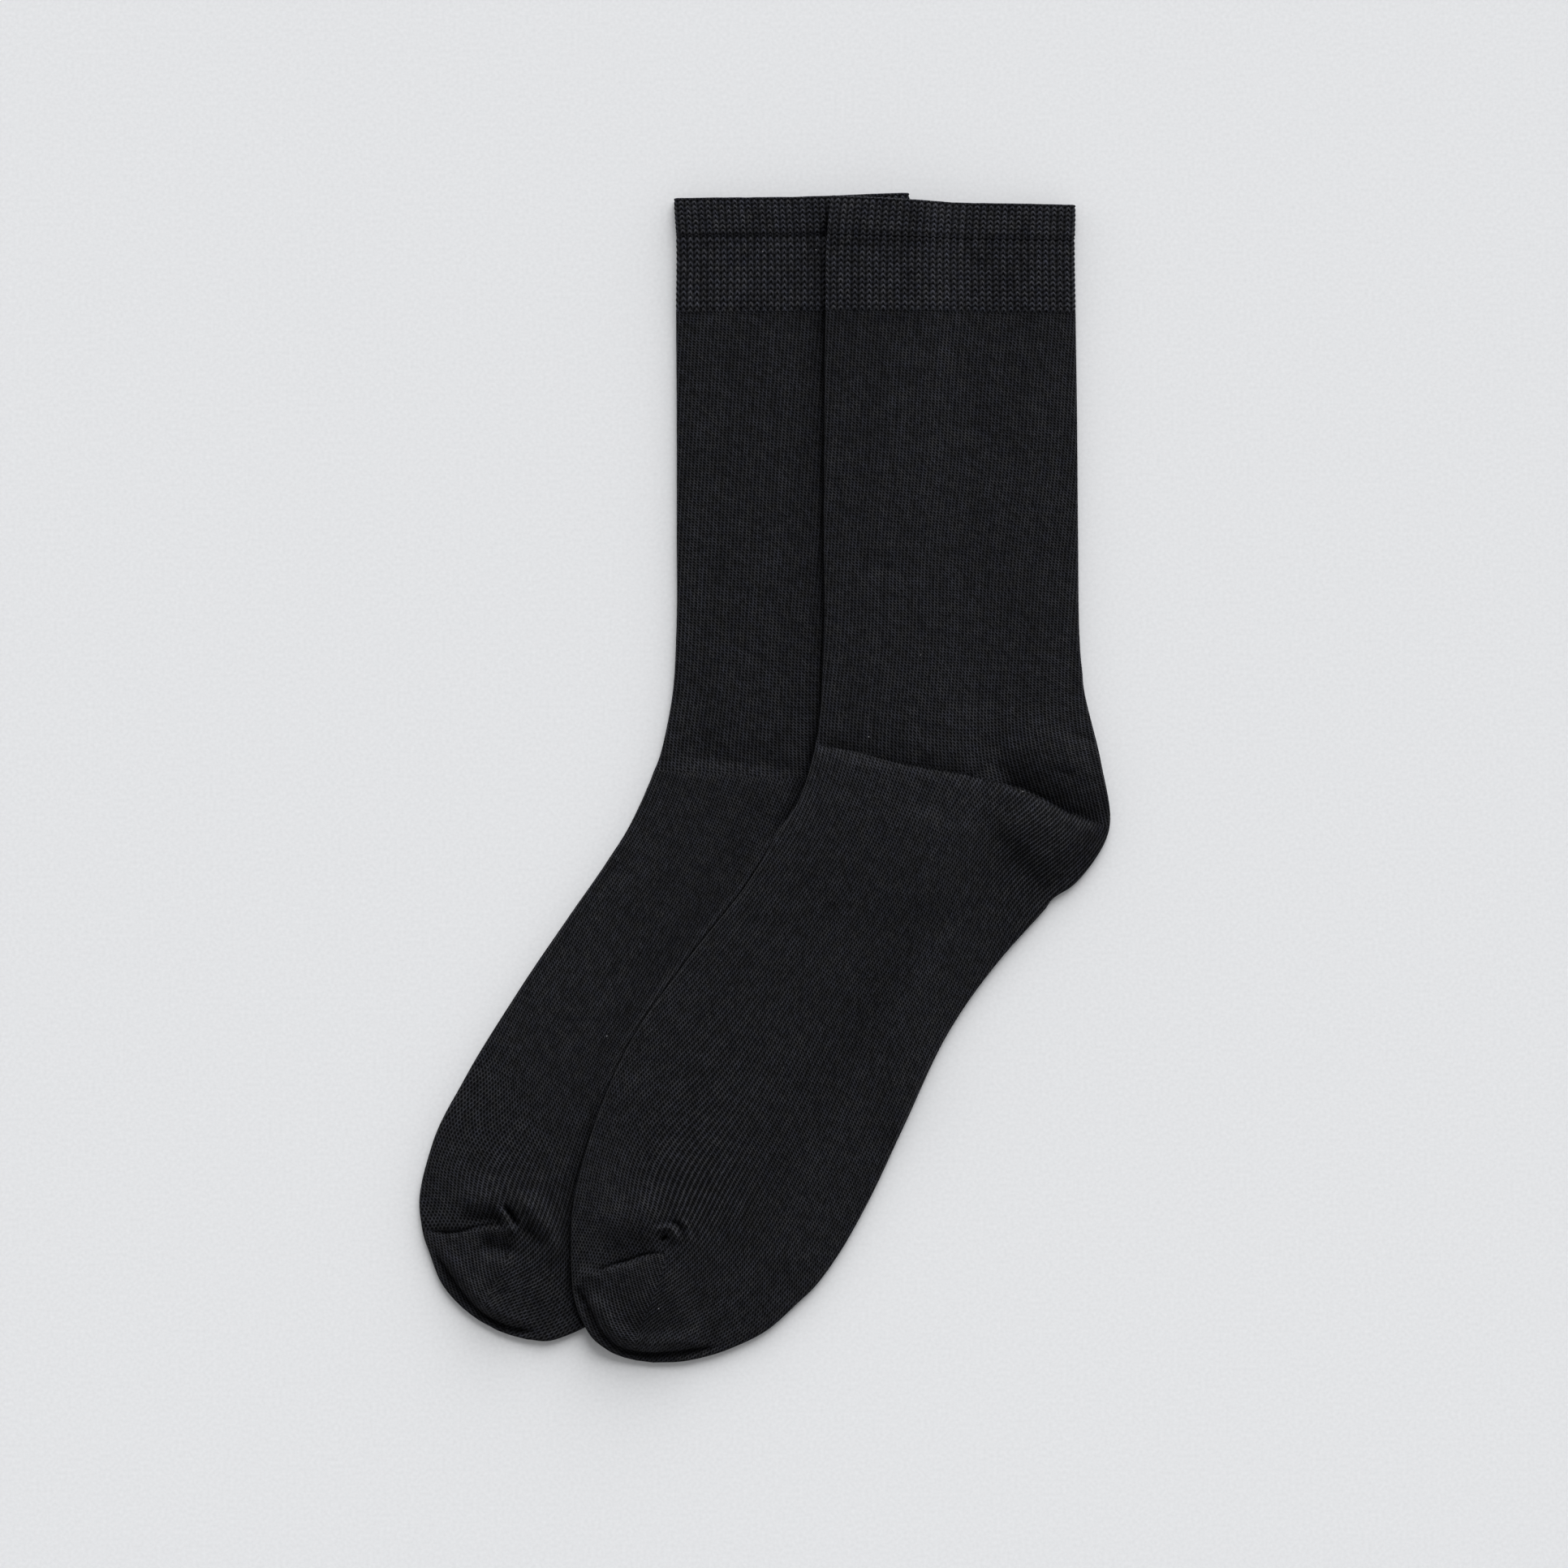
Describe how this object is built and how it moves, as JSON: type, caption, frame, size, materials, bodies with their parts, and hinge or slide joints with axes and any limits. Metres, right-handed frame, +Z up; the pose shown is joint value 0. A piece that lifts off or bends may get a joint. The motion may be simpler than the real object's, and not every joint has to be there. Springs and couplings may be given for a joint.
{
  "type": "pair of socks",
  "caption": "Pair of plain knitted crew socks laid flat, one partly on the other, with ribbed cuffs, angled heel pockets and rounded toe pockets.",
  "frame": {"origin": "centre of the pair's footprint, on the surface it lies on", "axes": "+X across the pair, from the instep of the under sock to the heel of the over sock; +Y along the legs, from the toes to the cuffs; +Z up from the surface"},
  "size_m": [0.2209, 0.3745, 0.008],
  "materials": {
    "rib_knit": "matt dark charcoal rib knit",
    "jersey_knit": "matt dark charcoal plain jersey knit"
  },
  "bodies": {
    "root": {"under_welt": "rib_knit", "under_rib_cuff": "rib_knit", "under_leg": "jersey_knit", "under_heel": "jersey_knit", "under_foot": "jersey_knit", "under_toe": "jersey_knit", "over_welt": "rib_knit", "over_rib_cuff": "rib_knit", "over_leg": "jersey_knit", "over_heel": "jersey_knit", "over_foot": "jersey_knit", "over_toe": "jersey_knit"}
  },
  "joints": []
}
